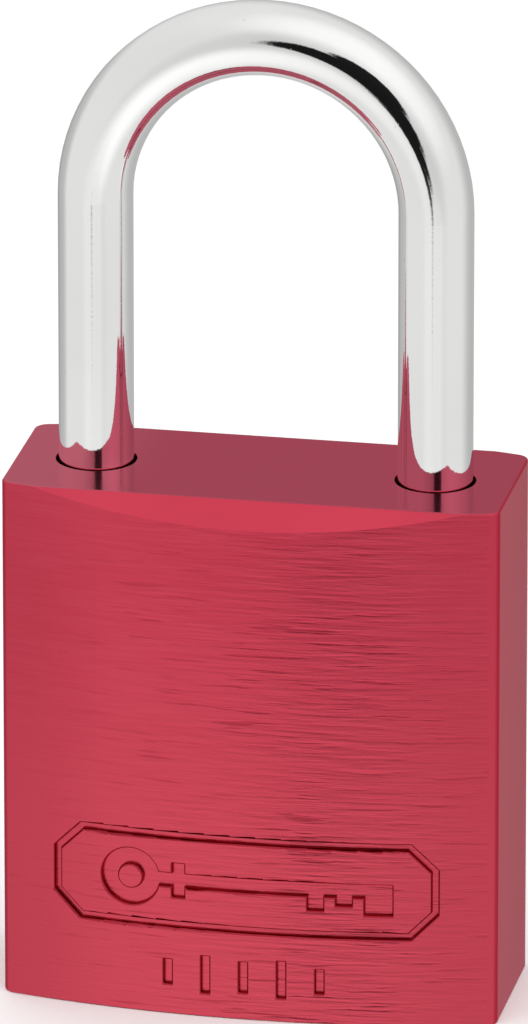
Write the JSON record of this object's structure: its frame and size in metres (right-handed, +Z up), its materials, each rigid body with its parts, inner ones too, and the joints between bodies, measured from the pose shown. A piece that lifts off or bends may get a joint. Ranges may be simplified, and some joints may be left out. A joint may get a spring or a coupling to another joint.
{
  "type": "keyed padlock",
  "caption": "Small keyed padlock: crowned red aluminium body, tall chromed round shackle, keyway underneath.",
  "frame": {"origin": "middle of the body's flat underside, which is also the middle of the keyway's core", "axes": "+Z up along the shackle legs, -Y out of the engraved front face, +X towards the heel leg"},
  "size_m": [0.03, 0.0142, 0.0615],
  "materials": {
    "body_red": "red anodised, brushed front, polished edges",
    "shackle_chrome": "polished chrome plate",
    "brass": "turned brass",
    "steel": "zinc plated steel",
    "spring_steel": "drawn spring wire"
  },
  "bodies": {
    "lock_body": {"lock_body": "body_red", "chamber_plugs": "body_red", "bolt_bore_plug": "body_red", "core_retaining_pin": "steel", "shackle_retaining_pin": "steel", "bolt_spring": "spring_steel", "shackle_spring": "spring_steel", "chamber_spring_1": "spring_steel", "chamber_spring_2": "spring_steel", "chamber_spring_3": "spring_steel", "chamber_spring_4": "spring_steel", "chamber_spring_5": "spring_steel"},
    "shackle": {"shackle": "shackle_chrome"},
    "core": {"core": "brass", "core_cam": "brass"},
    "bolt_left": {"bolt_left": "steel"},
    "bolt_right": {"bolt_right": "steel"},
    "driver_pin_1": {"driver_pin_1": "brass"},
    "key_pin_1": {"key_pin_1": "brass"},
    "driver_pin_2": {"driver_pin_2": "brass"},
    "key_pin_2": {"key_pin_2": "brass"},
    "driver_pin_3": {"driver_pin_3": "brass"},
    "key_pin_3": {"key_pin_3": "brass"},
    "driver_pin_4": {"driver_pin_4": "brass"},
    "key_pin_4": {"key_pin_4": "brass"},
    "driver_pin_5": {"driver_pin_5": "brass"},
    "key_pin_5": {"key_pin_5": "brass"}
  },
  "joints": [
    {"name": "shackle_lift", "type": "slide", "parent": "lock_body", "child": "shackle", "axis": [0, 0, 1], "range_m": [0, 0.0096], "deforming": ["shackle_spring"]},
    {"name": "core_turn", "type": "hinge", "parent": "lock_body", "child": "core", "pos_m": [0, 0, 0.01], "axis": [0, 0, -1], "range_deg": [0, 90]},
    {"name": "bolt_right_slide", "type": "slide", "parent": "lock_body", "child": "bolt_right", "axis": [1, 0, 0], "range_m": [0, 0.0011], "deforming": ["bolt_spring"]},
    {"name": "bolt_left_slide", "type": "slide", "parent": "lock_body", "child": "bolt_left", "axis": [-1, 0, 0], "range_m": [0, 0.0011], "deforming": ["bolt_spring"]},
    {"name": "driver_pin_1_slide", "type": "slide", "parent": "lock_body", "child": "driver_pin_1", "axis": [-1, 0, 0], "range_m": [0, 0.0012], "stiffness_N_per_m": 100, "springref_m": -0.003, "deforming": ["chamber_spring_1"]},
    {"name": "driver_pin_2_slide", "type": "slide", "parent": "lock_body", "child": "driver_pin_2", "axis": [-1, 0, 0], "range_m": [0, 0.0012], "stiffness_N_per_m": 100, "springref_m": -0.003, "deforming": ["chamber_spring_2"]},
    {"name": "driver_pin_3_slide", "type": "slide", "parent": "lock_body", "child": "driver_pin_3", "axis": [-1, 0, 0], "range_m": [0, 0.0012], "stiffness_N_per_m": 100, "springref_m": -0.003, "deforming": ["chamber_spring_3"]},
    {"name": "driver_pin_4_slide", "type": "slide", "parent": "lock_body", "child": "driver_pin_4", "axis": [-1, 0, 0], "range_m": [0, 0.0012], "stiffness_N_per_m": 100, "springref_m": -0.003, "deforming": ["chamber_spring_4"]},
    {"name": "driver_pin_5_slide", "type": "slide", "parent": "lock_body", "child": "driver_pin_5", "axis": [-1, 0, 0], "range_m": [0, 0.0012], "stiffness_N_per_m": 100, "springref_m": -0.003, "deforming": ["chamber_spring_5"]},
    {"name": "key_pin_1_slide", "type": "slide", "parent": "core", "child": "key_pin_1", "axis": [0, 1, 0], "range_m": [0, 0.00132]},
    {"name": "key_pin_2_slide", "type": "slide", "parent": "core", "child": "key_pin_2", "axis": [0, 1, 0], "range_m": [0, 0.00072]},
    {"name": "key_pin_3_slide", "type": "slide", "parent": "core", "child": "key_pin_3", "axis": [0, 1, 0], "range_m": [0, 0.00102]},
    {"name": "key_pin_4_slide", "type": "slide", "parent": "core", "child": "key_pin_4", "axis": [0, 1, 0], "range_m": [0, 0.00042]},
    {"name": "key_pin_5_slide", "type": "slide", "parent": "core", "child": "key_pin_5", "axis": [0, 1, 0], "range_m": [0, 0.00122]}
  ],
  "couplings": [
    {"joint": "core_turn", "follows": "bolt_right_slide", "rad_per_m": 1428},
    {"joint": "bolt_left_slide", "follows": "bolt_right_slide", "ratio": 1}
  ]
}
